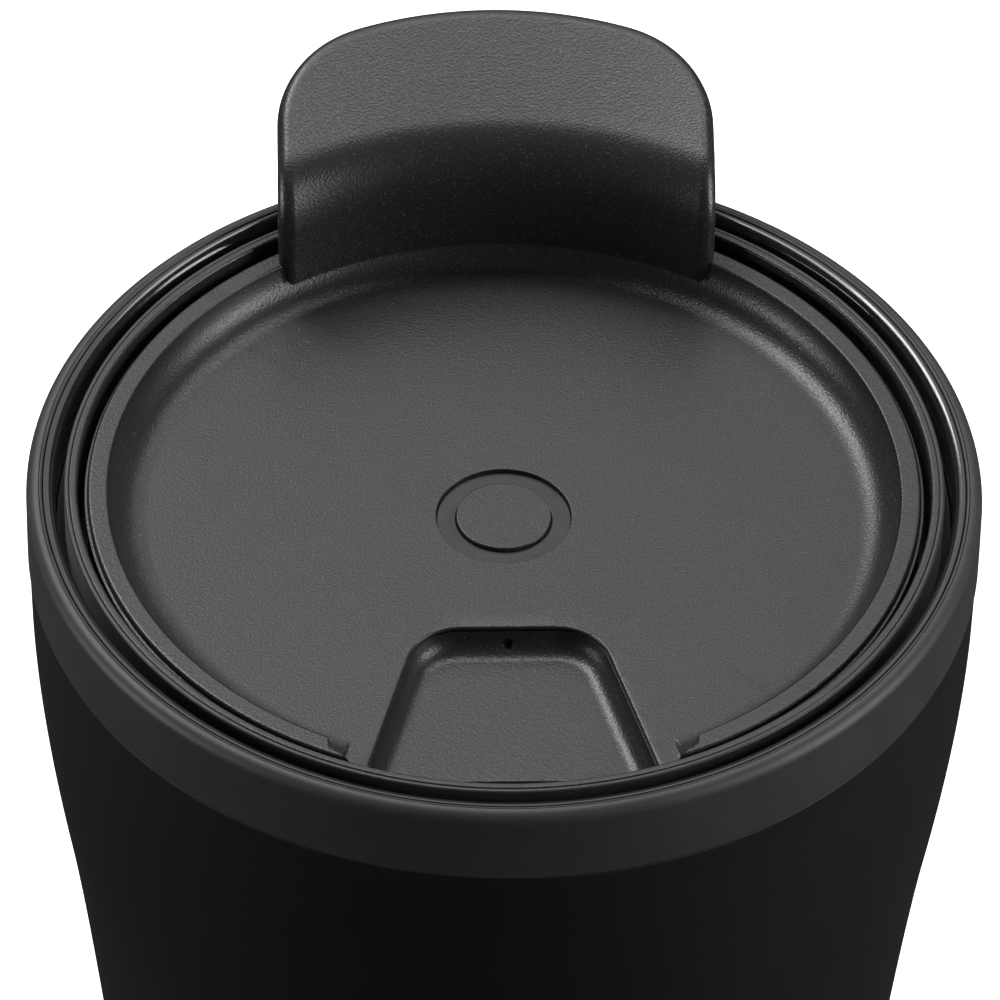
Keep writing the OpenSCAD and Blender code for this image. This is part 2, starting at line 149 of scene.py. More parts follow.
def notch_outline(grow, front=-46.0, steps=10):
    """The notch seen from above, open towards -Y, as a closed loop from its front right corner."""
    slope = radians(NOTCH_ANGLE)
    r = NOTCH_CORNER
    cx = NOTCH_HALF - r * (1 - sin(slope)) / cos(slope)
    cy = -NOTCH_BACK - r
    fx = NOTCH_HALF + grow / cos(slope) + (-front - NOTCH_BACK) * tan(slope)
    right = arc(cx, cy, r + grow, NOTCH_ANGLE, 90, steps)
    left = arc(-cx, cy, r + grow, 90, 180 - NOTCH_ANGLE, steps)
    return [(fx, front)] + right + left + [(-fx, front)]


def slot_outline(length, width, cy, steps=12):
    """A slot with round ends along X."""
    half = (length - width) / 2
    return arc(half, cy, width / 2, -90, 90, steps) + arc(-half, cy, width / 2, 90, 270, steps)


# ---------------------------------------------------------------- mesh helpers


def new_object(name, verts, faces, body=None, material=None):
    """A mesh object from points in millimetres, riding on its body."""
    mesh = bpy.data.meshes.new(name)
    mesh.from_pydata([Vector(v) * MM for v in verts], [], faces)
    mesh.validate()
    obj = bpy.data.objects.new(name, mesh)
    bpy.context.scene.collection.objects.link(obj)
    if material:
        mesh.materials.append(material)
    if body:
        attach(obj, body)
    return obj


def clean(obj, angle=32):
    """Merges doubled points, turns faces outwards and smooths all but the real edges."""
    bm = bmesh.new()
    bm.from_mesh(obj.data)
    bmesh.ops.remove_doubles(bm, verts=bm.verts, dist=0.002 * MM)
    bmesh.ops.dissolve_degenerate(bm, edges=bm.edges, dist=0.001 * MM)
    bmesh.ops.recalc_face_normals(bm, faces=bm.faces)
    bm.to_mesh(obj.data)
    bm.free()
    obj.data.shade_smooth()
    obj.data.set_sharp_from_angle(angle=radians(angle))
    if "weighted" not in obj.modifiers:
        weighted = obj.modifiers.new("weighted", "WEIGHTED_NORMAL")
        weighted.keep_sharp = True
    return obj


def lathe_mesh(profile, segments=256):
    """Points and faces of a closed profile of (radius, height) turned about Z."""
    on_axis = [r == 0 for r, _ in profile]
    n = len(profile)
    verts = []
    for s in range(segments):
        a = tau * s / segments
        verts += [(r * cos(a), r * sin(a), z) for r, z in profile]
    faces = []
    for s in range(segments):
        t = (s + 1) % segments
        for i in range(n):
            j = (i + 1) % n
            if not (on_axis[i] and on_axis[j]):
                faces.append((s * n + i, t * n + i, t * n + j, s * n + j))
    return verts, faces


def lathe(name, profile, body, material, segments=256, angle=32):
    verts, faces = lathe_mesh(profile, segments)
    return clean(new_object(name, verts, faces, body, material), angle)


def loft(name, loops):
    """A closed solid through loops of points, each (outline, height), capped at both ends."""
    n = len(loops[0][0])
    verts = [(x, y, z) for outline, z in loops for x, y in outline]
    faces = []
    for k in range(len(loops) - 1):
        for i in range(n):
            j = (i + 1) % n
            faces.append((k * n + i, k * n + j, (k + 1) * n + j, (k + 1) * n + i))
    faces.append(tuple(reversed(range(n))))
    faces.append(tuple(range((len(loops) - 1) * n, len(loops) * n)))
    return clean(new_object(name, verts, faces))


def combine(obj, other, operation):
    """Boolean of two solids, applied, which uses up the second one."""
    mod = obj.modifiers.new("bool", "BOOLEAN")
    mod.operation = operation
    mod.solver = "MANIFOLD"
    mod.object = other
    bpy.context.view_layer.update()
    depsgraph = bpy.context.evaluated_depsgraph_get()
    mesh = bpy.data.meshes.new_from_object(obj.evaluated_get(depsgraph))
    obj.modifiers.clear()
    obj.data = mesh
    bpy.data.objects.remove(other)
    return obj


def cut(obj, other):
    return combine(obj, other, "DIFFERENCE")


# ---------------------------------------------------------------- materials


class Nodes:
    """A material under construction: its principled shader and a few shorthands."""

    def __init__(self, name, color, roughness, **sockets):
        self.material = bpy.data.materials.new(name)
        self.material.use_nodes = True
        self.tree = self.material.node_tree
        self.shader = self.tree.nodes["Principled BSDF"]
        self.set("Base Color", (*color, 1))
        self.set("Roughness", roughness)
        for key, value in sockets.items():
            self.set(key.replace("_", " "), value)
        self.coords = self.add("ShaderNodeTexCoord").outputs["Object"]
        self.normal = None

    def set(self, socket, value):
        self.shader.inputs[socket].default_value = value

    def add(self, kind, **values):
        node = self.tree.nodes.new(kind)
        for key, value in values.items():
            if key in node.inputs:
                node.inputs[key].default_value = value
            else:
                setattr(node, key, value)
        return node

    def link(self, source, target):
        self.tree.links.new(source, target)

    def noise(self, size_mm, detail=2.0, rough=0.5):
        node = self.add("ShaderNodeTexNoise", Scale=1 / (size_mm * MM), Detail=detail, Roughness=rough)
        self.link(self.coords, node.inputs["Vector"])
        return node.outputs["Fac"]

    def cells(self, size_mm):
        node = self.add("ShaderNodeTexVoronoi", Scale=1 / (size_mm * MM))
        self.link(self.coords, node.inputs["Vector"])
        return node

    def ramp(self, source, stops):
        """A grey or coloured ramp: stops are (place, value)."""
        node = self.add("ShaderNodeValToRGB")
        elements = node.color_ramp.elements
        while len(elements) < len(stops):
            elements.new(0.5)
        for element, (place, value) in zip(elements, stops):
            element.position = place
            rgb = value if isinstance(value, tuple) else (value,) * 3
            element.color = (*rgb, 1)
        self.link(source, node.inputs["Fac"])
        return node.outputs["Color"]

    def mix(self, factor, a, b):
        node = self.add("ShaderNodeMix", data_type="RGBA", blend_type="MIX")
        for socket, value in ((node.inputs[0], factor), (node.inputs[6], a), (node.inputs[7], b)):
            if isinstance(value, bpy.types.NodeSocket):
                self.link(value, socket)
            elif isinstance(value, tuple):
                socket.default_value = (*value, 1)
            else:
                socket.default_value = value
        return node.outputs[2]

    def math(self, operation, a, b):
        node = self.add("ShaderNodeMath", operation=operation)
        for socket, value in zip(node.inputs, (a, b)):
            if isinstance(value, bpy.types.NodeSocket):
                self.link(value, socket)
            else:
                socket.default_value = value
        return node.outputs[0]

    def bump(self, height, depth_mm, strength=1.0):
        node = self.add("ShaderNodeBump", Strength=strength, Distance=depth_mm * MM)
        self.link(height, node.inputs["Height"])
        if self.normal:
            self.link(self.normal, node.inputs["Normal"])
        self.normal = node.outputs["Normal"]
        self.link(self.normal, self.shader.inputs["Normal"])

    def edges(self, start=0.52, end=0.62):
        """1 on convex edges, 0 elsewhere."""
        pointiness = self.add("ShaderNodeNewGeometry").outputs["Pointiness"]
        return self.ramp(pointiness, [(start, 0.0), (end, 1.0)])

    def color(self, socket):
        self.link(socket, self.shader.inputs["Base Color"])

    def roughness(self, socket):
        self.link(socket, self.shader.inputs["Roughness"])


def shade(base, factor):
    return tuple(c * factor for c in base)


def grained_plastic():
    """Spark-eroded black plastic: fine grain with small glints, a little polished on its edges."""
    base = (0.017, 0.0178, 0.0168)
    m = Nodes("lid grained plastic", base, 0.42, Specular_IOR_Level=0.5)
    drift = m.ramp(m.noise(14, 3), [(0.3, shade(base, 0.9)), (0.7, shade(base, 1.1))])
    grain = m.noise(0.23, 1, 0.5)
    speck = m.ramp(m.cells(0.19).outputs["Distance"], [(0.2, 1.0), (0.42, 0.0)])
    chosen = m.ramp(m.noise(0.27, 1), [(0.56, 0.0), (0.62, 1.0)])
    glint = m.math("MULTIPLY", speck, chosen)
    toned = m.mix(m.ramp(grain, [(0.35, 0.0), (0.7, 0.6)]), drift, shade(base, 1.7))
    m.color(m.mix(glint, toned, (0.1, 0.105, 0.1)))
    rough = m.ramp(grain, [(0.3, 0.4), (0.7, 0.3)])
    rough = m.mix(m.edges(), rough, (0.26, 0.26, 0.26))
    m.roughness(m.mix(glint, rough, (0.22, 0.22, 0.22)))
    m.bump(grain, 0.034, 1.0)
    return m.material


def gloss_plastic():
    m = Nodes("lid smooth plastic", (0.016, 0.0165, 0.016), 0.3)
    swirl = m.noise(3, 4, 0.6)
    m.color(m.ramp(swirl, [(0.3, (0.014, 0.0145, 0.014)), (0.7, (0.019, 0.0195, 0.019))]))
    m.roughness(m.ramp(swirl, [(0.35, 0.26), (0.65, 0.36)]))
    m.bump(m.noise(1.2, 3), 0.004, 0.6)
    return m.material


def powder_coat():
    """Soft-touch coat: nearly black, with a very fine orange peel."""
    base = (0.0075, 0.0084, 0.0092)
    m = Nodes("soft powder coat", base, 0.5, Specular_IOR_Level=0.25)
    peel = m.noise(0.35, 3, 0.55)
    cloud = m.noise(22, 3)
    m.color(m.ramp(cloud, [(0.3, shade(base, 0.85)), (0.7, shade(base, 1.2))]))
    rough = m.ramp(peel, [(0.3, 0.6), (0.7, 0.48)])
    m.roughness(m.mix(m.edges(0.53, 0.65), rough, (0.38, 0.38, 0.38)))
    m.bump(peel, 0.012, 0.8)
    m.bump(m.noise(1.4, 2), 0.02, 0.4)
    return m.material


def collar_plastic():
    base = (0.034, 0.0352, 0.0337)
    m = Nodes("collar matte plastic", base, 0.5, Specular_IOR_Level=0.5)
    fine = m.noise(0.16, 3, 0.6)
    cloud = m.noise(9, 3)
    toned = m.ramp(cloud, [(0.3, shade(base, 0.88)), (0.7, shade(base, 1.14))])
    # convex edges are painted lighter in colour: a painted highlight along the collar's rounded edges
    m.color(m.mix(m.edges(0.53, 0.64), toned, shade(base, 1.8)))
    m.roughness(m.ramp(fine, [(0.3, 0.58), (0.7, 0.44)]))
    m.bump(fine, 0.012, 0.8)
    return m.material


def rim_enamel():
    """Black ceramic coating over the steel liner, glossy, with faint waviness."""
    m = Nodes("liner ceramic coat", (0.012, 0.012, 0.0125), 0.14, Coat_Weight=0.5, Coat_Roughness=0.06)
    wave = m.noise(5, 3)
    m.color(m.ramp(wave, [(0.3, (0.010, 0.010, 0.011)), (0.7, (0.016, 0.016, 0.017))]))
    m.roughness(m.ramp(m.noise(0.8, 4, 0.6), [(0.35, 0.1), (0.65, 0.22)]))
    m.bump(wave, 0.02, 0.4)
    m.bump(m.noise(0.3, 3), 0.003, 0.6)
    return m.material


def silicone():
    base = (0.02, 0.02, 0.0205)
    m = Nodes("black silicone", base, 0.45, Specular_IOR_Level=0.5, Sheen_Weight=0.15, Sheen_Roughness=0.4)
    dust = m.noise(0.4, 5, 0.7)
    m.color(m.ramp(dust, [(0.35, base), (0.75, shade(base, 1.9))]))
    m.roughness(m.ramp(m.noise(2, 3), [(0.3, 0.38), (0.7, 0.52)]))
    m.bump(m.noise(0.25, 3), 0.006, 0.7)
    return m.material


def metal(name, base, roughness=0.3, turned=True):
    """Drawn or turned metal, with fine rings about the object's axis."""
    m = Nodes(name, base, roughness, Metallic=1.0)
    stretch = m.add("ShaderNodeMapping")
    stretch.inputs["Scale"].default_value = (0.15, 0.15, 6.0) if turned else (1, 1, 1)
    m.link(m.coords, stretch.inputs["Vector"])
    rings = m.add("ShaderNodeTexNoise", Scale=1 / (0.8 * MM), Detail=4.0)
    m.link(stretch.outputs["Vector"], rings.inputs["Vector"])
    fac = rings.outputs["Fac"]
    m.color(m.ramp(fac, [(0.3, shade(base, 0.82)), (0.7, base)]))
    m.roughness(m.ramp(fac, [(0.3, roughness + 0.1), (0.7, roughness - 0.08)]))
    m.bump(fac, 0.004, 0.6)
    return m.material


def foam():
    m = Nodes("cream foam", (0.78, 0.74, 0.65), 0.85, Subsurface_Weight=0.1)
    m.set("Subsurface Radius", (0.002, 0.0015, 0.001))
    pores = m.cells(0.5).outputs["Distance"]
    # the pits of the pores are painted darker: painted shade in the pores
    m.color(m.ramp(pores, [(0.1, (0.55, 0.5, 0.42)), (0.5, (0.8, 0.76, 0.68))]))
    m.bump(pores, 0.15, 0.8)
    return m.material


def acetal():
    m = Nodes("white acetal", (0.8, 0.79, 0.75), 0.35, Specular_IOR_Level=0.5)
    m.color(m.ramp(m.noise(2, 3), [(0.3, (0.76, 0.75, 0.71)), (0.7, (0.83, 0.82, 0.78))]))
    m.bump(m.noise(0.4, 3), 0.005, 0.5)
    return m.material


def floor_material():
    m = Nodes("pale floor", (0.9, 0.9, 0.9), 0.8, Specular_IOR_Level=0.1)
    m.color(m.ramp(m.noise(60, 3), [(0.3, (0.9, 0.9, 0.9)), (0.7, (0.92, 0.92, 0.92))]))
    m.set("Emission Color", (1, 1, 1, 1))
    m.set("Emission Strength", 0.9)
    return m.material


SLOT_MATERIALS = {
    "powder_coat": powder_coat(),
    "polished_steel": rim_enamel(),
    "bare_steel": metal("bare steel", (0.6, 0.6, 0.61), 0.32),
    "collar_matte": collar_plastic(),
    "silicone_black": silicone(),
    "lid_grained": grained_plastic(),
    "lid_gloss": gloss_plastic(),
    "foam_cream": foam(),
    "brass": metal("turned brass", (0.72, 0.53, 0.22), 0.28),
    "copper": metal("copper foil", (0.72, 0.37, 0.24), 0.25, turned=False),
    "acetal_white": acetal(),
}


def dress_cad_nodes():
    """Gives each CAD node the procedural material of its slot."""
    for part in frame["record"]["subparts"]:
        mesh = frame["nodes"][part["node"]].data
        mesh.materials.clear()
        mesh.materials.append(SLOT_MATERIALS[part["material_slot"]])
        mesh.shade_smooth()


def piece(name, profile, body, slot, *nodes, segments=256, angle=32):
    """A turned piece that stands for its CAD nodes."""
    obj = lathe(name, profile, body, SLOT_MATERIALS[slot], segments, angle)
    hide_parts(*nodes)
    return obj


# ---------------------------------------------------------------- the cup

SHEET = 0.5
WELD = low("outer_shell", 2)
SIDE_TOP = CUP_TOP - 15
FOOT_Z = 3
FOOT_R = 32.2
FOOT_ROUND = 2.2
FOOT_RIM = FOOT_Z - FOOT_ROUND
PLUG_HOLE_R = 1.5
RECESS_Z = high("base_pad", 2)
PAD_R = high("base_pad", 0)


def side(inset):
    """Side of the cup from under the collar to the foot, drawn in by inset."""
    top = (CUP_R - 0.3 - inset, SIDE_TOP)
    shoulder = (CUP_R - 0.6 - inset, CUP_TOP - 25.6)
    middle = (CUP_R - 3.05 - inset, CUP_TOP - 41)
    taper = (CUP_R - 6.05 - inset, CUP_TOP - 61)
    foot = (FOOT_R - inset, FOOT_Z)
    return bezier(top, shoulder, middle) + bezier(middle, taper, foot, 40)[1:]


def side_radius(z):
    points = side(0)
    for (r0, z0), (r1, z1) in zip(points, points[1:]):
        if z1 <= z <= z0:
            return r0 + (r1 - r0) * (z0 - z) / (z0 - z1)
    return points[-1][0]


def make_shell():
    weld_r = side_radius(WELD)
    outer = rounded([(RIM_R, RIM_TOP - 1.2, 0), (RIM_R, NECK, 0.2), (CUP_R - 0.15, NECK, 0.25),
                     (CUP_R - 0.3, SIDE_TOP, 0)], closed=False)
    outer = outer[:-1] + [p for p in side(0) if p[1] > WELD] + [(weld_r, WELD)]
    inner = [(weld_r - SHEET, WELD)] + [p for p in reversed(side(SHEET)) if p[1] > WELD]
    inner += [(CUP_R - 0.15 - SHEET, NECK - SHEET), (RIM_R - SHEET, NECK - SHEET),
              (RIM_R - SHEET, RIM_TOP - 1.2)]
    piece("shell_coated", outer + inner, "cup", "powder_coat", "outer_shell", segments=320)


def make_base_plate():
    weld_r = side_radius(WELD)
    recess_r = PAD_R + 0.1
    corner = arc(FOOT_R - FOOT_ROUND, FOOT_Z, FOOT_ROUND, 0, -90, 12)
    recess = rounded([(FOOT_R - FOOT_ROUND, FOOT_RIM, 0), (recess_r, FOOT_RIM, 0.3),
                      (recess_r, RECESS_Z, 0.2), (PLUG_HOLE_R, RECESS_Z, 0)], closed=False)[1:]
    inside = [(PLUG_HOLE_R, RECESS_Z + SHEET), (recess_r + SHEET, RECESS_Z + SHEET),
              (recess_r + SHEET, FOOT_RIM + SHEET)]
    inside += arc(FOOT_R - FOOT_ROUND, FOOT_Z, FOOT_ROUND - SHEET, -90, 0, 12) + [(weld_r - SHEET, WELD)]
    piece("base_pan", [(weld_r, WELD)] + corner + recess + inside, "cup", "powder_coat", "base_plate")


def make_base_pad():
    """Foot pad with three moulded grooves."""
    groove_w = 1.2
    groove_deep = 0.5
    corners = [(0, 0, 0)]
    for r in (14, 19, 24):
        corners += [(r, 0, 0.12), (r, groove_deep, 0.15)]
        corners += [(r + groove_w, groove_deep, 0.15), (r + groove_w, 0, 0.12)]
    corners += [(PAD_R, 0, 0.35), (PAD_R, RECESS_Z, 0.1), (0, RECESS_Z, 0)]
    piece("foot_pad", rounded(corners, steps=4, hold=0.06), "cup", "silicone_black", "base_pad")


def make_collar():
    profile = rounded([(RIM_R, NECK, 0.05), (CUP_R - 0.02, NECK, 0.35), (CUP_R, NECK + 3, 0),
                       (CUP_R, CUP_TOP, 1.1), (RIM_R + 0.02, CUP_TOP, 0.22)], steps=8)
    piece("collar_band", profile, "cup", "collar_matte", "collar", segments=320)


def make_liner():
    """Inner cup: rolled rim, lid seat with its shelf, wall and bowl-shaped floor."""
    shelf = low("lid_gasket", 2) - 0.1
    floor = 8
    bend = 12
    vacuum_gap = 3.2
    inset = 2 * SHEET + vacuum_gap
    foot = side_radius(floor + bend) - inset - bend

    def inside(d):
        wall = [p for p in side(inset - d) if p[1] > floor + bend + 1]
        turn = rounded([(SEAT_R + d, RIM_TOP - 3, 0), (SEAT_R + d, shelf - d, 0.4),
                        (wall[0][0], shelf - d, 0.8), (wall[0][0], wall[0][1], 0)], closed=False)
        return turn + wall[1:] + arc(foot, floor + bend, bend + d, -5, -90, 14) + [(0, floor - d)]

    roll = RIM_R - SEAT_R - 0.1
    bead = [(RIM_R - 0.02, RIM_TOP - 1.1), (RIM_R - 0.02, RIM_TOP - 0.12), (RIM_R - 0.1, RIM_TOP)]
    bead += arc(SEAT_R + roll, RIM_TOP - roll, roll, 92, 180, 20)
    profile = [(SEAT_R + SHEET, RIM_TOP - 1.15)] + bead + inside(0) + list(reversed(inside(SHEET)))
    piece("liner_cup", profile, "cup", "polished_steel", "inner_liner", segments=320)


# ---------------------------------------------------------------- the lid base

DECK_Z = WELL_UNDER - 0.4
DECK_UNDER = DECK_Z - 1.8
FOAM_UNDER = DECK_UNDER - 3.6
COVER_UNDER = low("lid_bottom_cover", 2)
COVER_R = high("lid_bottom_cover", 0)
HUB_R = 5.15
HUB_BORE = 5.22
HUB_Z = low("pivot_ring", 2) + 1.3
SLOT_Y = 34.1
SLOT_LEN = 12
SLOT_W = 3.6
CHUTE_WALL = 1
VENT = (16 * cos(radians(45)), 16 * sin(radians(45)))
VENT_R = 0.6
VENT_MOUTH_Z = DISH_Z - 1.6
VENT_MOUTH_R = 0.5
VENT_TUBE_R = 1.8
STOP_R = 24
STOP_PIN_R = 1.2
STOP_ANGLE = 135


def prism(name, outline, bottom, top):
    return loft(name, [(outline, bottom), (outline, top)])


def slot_prism(grow, bottom, top):
    return prism("slot", slot_outline(SLOT_LEN + 2 * grow, SLOT_W + 2 * grow, -SLOT_Y), bottom, top)


def pin(x, y, r, bottom, top, steps=32):
    return prism("pin", [(x + px, y + py) for px, py in arc(0, 0, r, 0, 360, steps)[:-1]], bottom, top)


def stop_groove():
    """A quarter-ring for the groove in the deck that the disc's stop pin runs in."""
    half = STOP_PIN_R + 0.1
    floor_z = DECK_Z - 0.9
    top_z = floor_z + 2
    inner, outer = STOP_R - half, STOP_R + half
    section = [(inner, floor_z), (outer, floor_z), (outer, top_z), (inner, top_z)]
    verts = []
    steps = 24
    for i in range(steps + 1):
        a = radians(STOP_ANGLE + 90 * i / steps)
        verts += [(r * cos(a), r * sin(a), z) for r, z in section]
    faces = [(3, 2, 1, 0), tuple(range(4 * steps, 4 * steps + 4))]
    for i in range(steps):
        faces += [(4 * i + k, 4 * i + (k + 1) % 4, 4 * i + 4 + (k + 1) % 4, 4 * i + 4 + k) for k in range(4)]
    return clean(new_object("groove", verts, faces))


def make_lid_base():
    """Ridge wall, deck and hub, with the drinking chute and the vent tube."""
    key_z = DECK_Z - 1.3
    profile = rounded([
        (3.0, DECK_UNDER, 0), (BASE_WALL_R, DECK_UNDER, 0.1), (BASE_WALL_R, key_z, 0),
        (BASE_WALL_R - 0.8, key_z, 0), (BASE_WALL_R - 0.8, key_z + 0.7, 0), (BASE_WALL_R, key_z + 0.7, 0),
        (BASE_WALL_R, RIDGE_TOP, 0.12), (RIDGE_IN, RIDGE_TOP, 0.28), (RIDGE_IN, DECK_Z, 0.3),
        (HUB_R, DECK_Z, 0), (HUB_R, HUB_Z, 0.15), (4.15, HUB_Z, 0), (4.15, HUB_Z - 1.3, 0),
        (3.0, HUB_Z - 1.3, 0)], steps=6)
    obj = lathe("lid_base_body", profile, "lid", SLOT_MATERIALS["lid_grained"], 320)
    obj = combine(obj, slot_prism(CHUTE_WALL, COVER_UNDER, DECK_UNDER + 0.5), "UNION")
    obj = combine(obj, pin(*VENT, VENT_TUBE_R, COVER_UNDER, DECK_UNDER + 0.5), "UNION")
    obj = cut(obj, slot_prism(0, COVER_UNDER - 1, DECK_Z + 1))
    obj = cut(obj, pin(*VENT, VENT_R, COVER_UNDER - 1, DECK_Z + 1))
    obj = cut(obj, stop_groove())
    clean(obj)
    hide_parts("lid_base")


def make_lid_gasket():
    """Silicone sleeve with three lips; its top edge is the outer part of the ridge."""
    tip = SEAT_R - 0.05
    foot = low("lid_gasket", 2)
    corners = [(BASE_WALL_R + 0.01, foot, 0), (tip, foot, 0.12), (tip, foot + 0.7, 0.12),
               (RIDGE_OUT, foot + 0.7, 0)]
    for z in (LIP - 8.5, LIP - 6, LIP - 3.5):
        corners += [(RIDGE_OUT, z - 1, 0), (tip, z - 0.3, 0.08), (tip, z, 0.08), (RIDGE_OUT, z - 0.2, 0)]
    corners += [(RIDGE_OUT, RIDGE_TOP - 0.04, 0.2), (BASE_WALL_R + 0.02, RIDGE_TOP - 0.06, 0.1)]
    piece("lid_seal", rounded(corners, hold=0.03), "lid", "silicone_black", "lid_gasket", segments=320)


def make_bottom_cover():
    edge_z = DECK_UNDER - 0.3
    inner_r = COVER_R - 1
    around = 0.02
    profile = rounded([(0, COVER_UNDER, 0), (COVER_R, COVER_UNDER, 1), (COVER_R, edge_z, 0.1),
                       (inner_r, edge_z, 0.1), (inner_r, FOAM_UNDER, 0.4), (0, FOAM_UNDER, 0)], steps=8)
    obj = lathe("lid_underside", profile, "lid", SLOT_MATERIALS["lid_grained"])
    obj = cut(obj, slot_prism(CHUTE_WALL + around, COVER_UNDER - 1, FOAM_UNDER + 1))
    obj = cut(obj, pin(*VENT, VENT_TUBE_R + around, COVER_UNDER - 1, FOAM_UNDER + 1))
    clean(obj)
    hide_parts("lid_bottom_cover")


def make_pivot():
    """Glossy ring in its recess, and the matte button in the middle."""
    ring_top = high("pivot_ring", 2)
    ring_r = high("pivot_ring", 0)
    ring_low = low("pivot_ring", 2)
    cap_r = high("pivot_cap", 0)
    cap_seat = ring_top - 0.6
    flange_z = ring_top - 1
    hole_r = 1.6
    neck_r = 4.12
    web_r = 3.3
    web_z = ring_low + 0.4
    fit = 0.06
    ring = rounded([(hole_r, ring_low, 0), (neck_r, ring_low, 0), (neck_r, flange_z, 0),
                    (ring_r, flange_z, 0), (ring_r, ring_top, 0.06), (cap_r + fit, ring_top, 0.08),
                    (cap_r + fit, cap_seat, 0), (web_r, cap_seat, 0), (web_r, web_z, 0),
                    (hole_r, web_z, 0)], hold=0.04)
    piece("pivot_bezel", ring, "lid", "lid_gloss", "pivot_ring", segments=160)
    snap_z = cap_seat - 0.8
    snap_in, snap_out = 2.85, 3.25
    cap = rounded([(0, cap_seat, 0), (snap_in, cap_seat, 0), (snap_in, snap_z, 0),
                   (snap_out, snap_z, 0), (snap_out, cap_seat, 0), (cap_r, cap_seat, 0),
                   (cap_r, DISH_Z, 0.14), (0, DISH_Z, 0)], hold=0.05)
    piece("pivot_button", cap, "lid", "lid_grained", "pivot_cap", segments=160)


# ---------------------------------------------------------------- the turning disc


def tab_path(distance):
    """Middle of the tab's sheet at a distance along it: radius, height and the way outwards (tangent)."""
    r_mid = TAB_BEND - TAB_T / 2
    front = TAB_FRONT + TAB_T / 2
    start = LIP - 2.4
    wall = TAB_BEND_Z - start
    turn = radians(90 - TAB_SLOPE)
    if distance < wall:
        return front, start + distance, 0.0, 1.0
    distance -= wall
    if distance < r_mid * turn:
        a = distance / r_mid
        return front + r_mid * (1 - cos(a)), TAB_BEND_Z + r_mid * sin(a), sin(a), cos(a)
    distance -= r_mid * turn
    tr, tz = sin(turn), cos(turn)
    r = front + r_mid * (1 - cos(turn)) + distance * tr
    z = TAB_BEND_Z + r_mid * sin(turn) + distance * tz
    return r, z, tr, tz


def make_tab():
    """Thumb tab: a sheet turned about the lid's axis with full round edges, as a closed solid."""
    edge = TAB_T / 2
    half = TAB_HALF - edge
    end_y = TAB_REACH - TAB_END
    end_r = TAB_END - edge
    corner = TAB_CORNER - edge
    columns = 72
    rows = 64

    def length_at(radius):
        """Length along the path at which the sheet reaches a radius."""
        near, far = 0.0, 40.0
        for _ in range(40):
            mid = (near + far) / 2
            if tab_path(mid)[0] < radius:
                near = mid
            else:
                far = mid
        return near

    cx = half - corner
    cy = end_y + sqrt((end_r - corner) ** 2 - cx ** 2)

    def end_radius(x):
        """Where the outline ends for a line at x: the outer edge, or the round corner."""
        ax = abs(x)
        if ax <= cx * end_r / (end_r - corner):
            y = end_y + sqrt(end_r ** 2 - ax * ax)
        else:
            y = cy + sqrt(max(corner ** 2 - (ax - cx) ** 2, 0))
        return sqrt(ax * ax + y * y)

    def place(u, v):
        """Middle of the sheet and its normal. The columns crowd towards the sides, near the corners."""
        x = sin(u * tau / 4) * half
        r, z, tr, tz = tab_path(length_at(end_radius(x)) * v)
        y = sqrt(r * r - x * x)
        normal = Vector((-tz * x / r, -tz * y / r, tr))
        return Vector((x, y, z)), normal

    grid = []
    for i in range(columns + 1):
        u = -1 + 2 * i / columns
        grid.append([place(u, j / rows) for j in range(rows + 1)])
    verts = []
    faces = []
    front = {}
    back = {}
    for i in range(columns + 1):
        for j in range(rows + 1):
            p, n = grid[i][j]
            front[i, j] = len(verts)
            verts.append(p + n * edge)
            back[i, j] = len(verts)
            verts.append(p - n * edge)
    for i in range(columns):
        for j in range(rows):
            faces.append((front[i, j], front[i + 1, j], front[i + 1, j + 1], front[i, j + 1]))
            faces.append((back[i, j + 1], back[i + 1, j + 1], back[i + 1, j], back[i, j]))
    border = [(0, j) for j in range(rows)] + [(i, rows) for i in range(columns)]
    border += [(columns, j) for j in range(rows, -1, -1)]
    steps = 8
    rings = []
    middle = grid[columns // 2][rows // 2][0]
    for k, (i, j) in enumerate(border):
        p, n = grid[i][j]
        last_i, last_j = border[max(k - 1, 0)]
        next_i, next_j = border[min(k + 1, len(border) - 1)]
        out = n.cross(grid[next_i][next_j][0] - grid[last_i][last_j][0]).normalized()
        if out.dot(p - middle) < 0:
            out = -out
        ring = [front[i, j]]
        for s in range(1, steps):
            a = radians(90 - 180 * s / steps)
            ring.append(len(verts))
            verts.append(p + (out * cos(a) + n * sin(a)) * edge)
        ring.append(back[i, j])
        rings.append(ring)
    for a, b in zip(rings, rings[1:]):
        faces += [(a[s], a[s + 1], b[s + 1], b[s]) for s in range(steps)]
    foot_front = [front[i, 0] for i in range(columns + 1)]
    foot_back = [back[i, 0] for i in range(columns + 1)]
    faces.append(tuple(foot_front[::-1] + rings[0][1:-1] + foot_back + rings[-1][1:-1][::-1]))
    return clean(new_object("tab", verts, faces), 60)


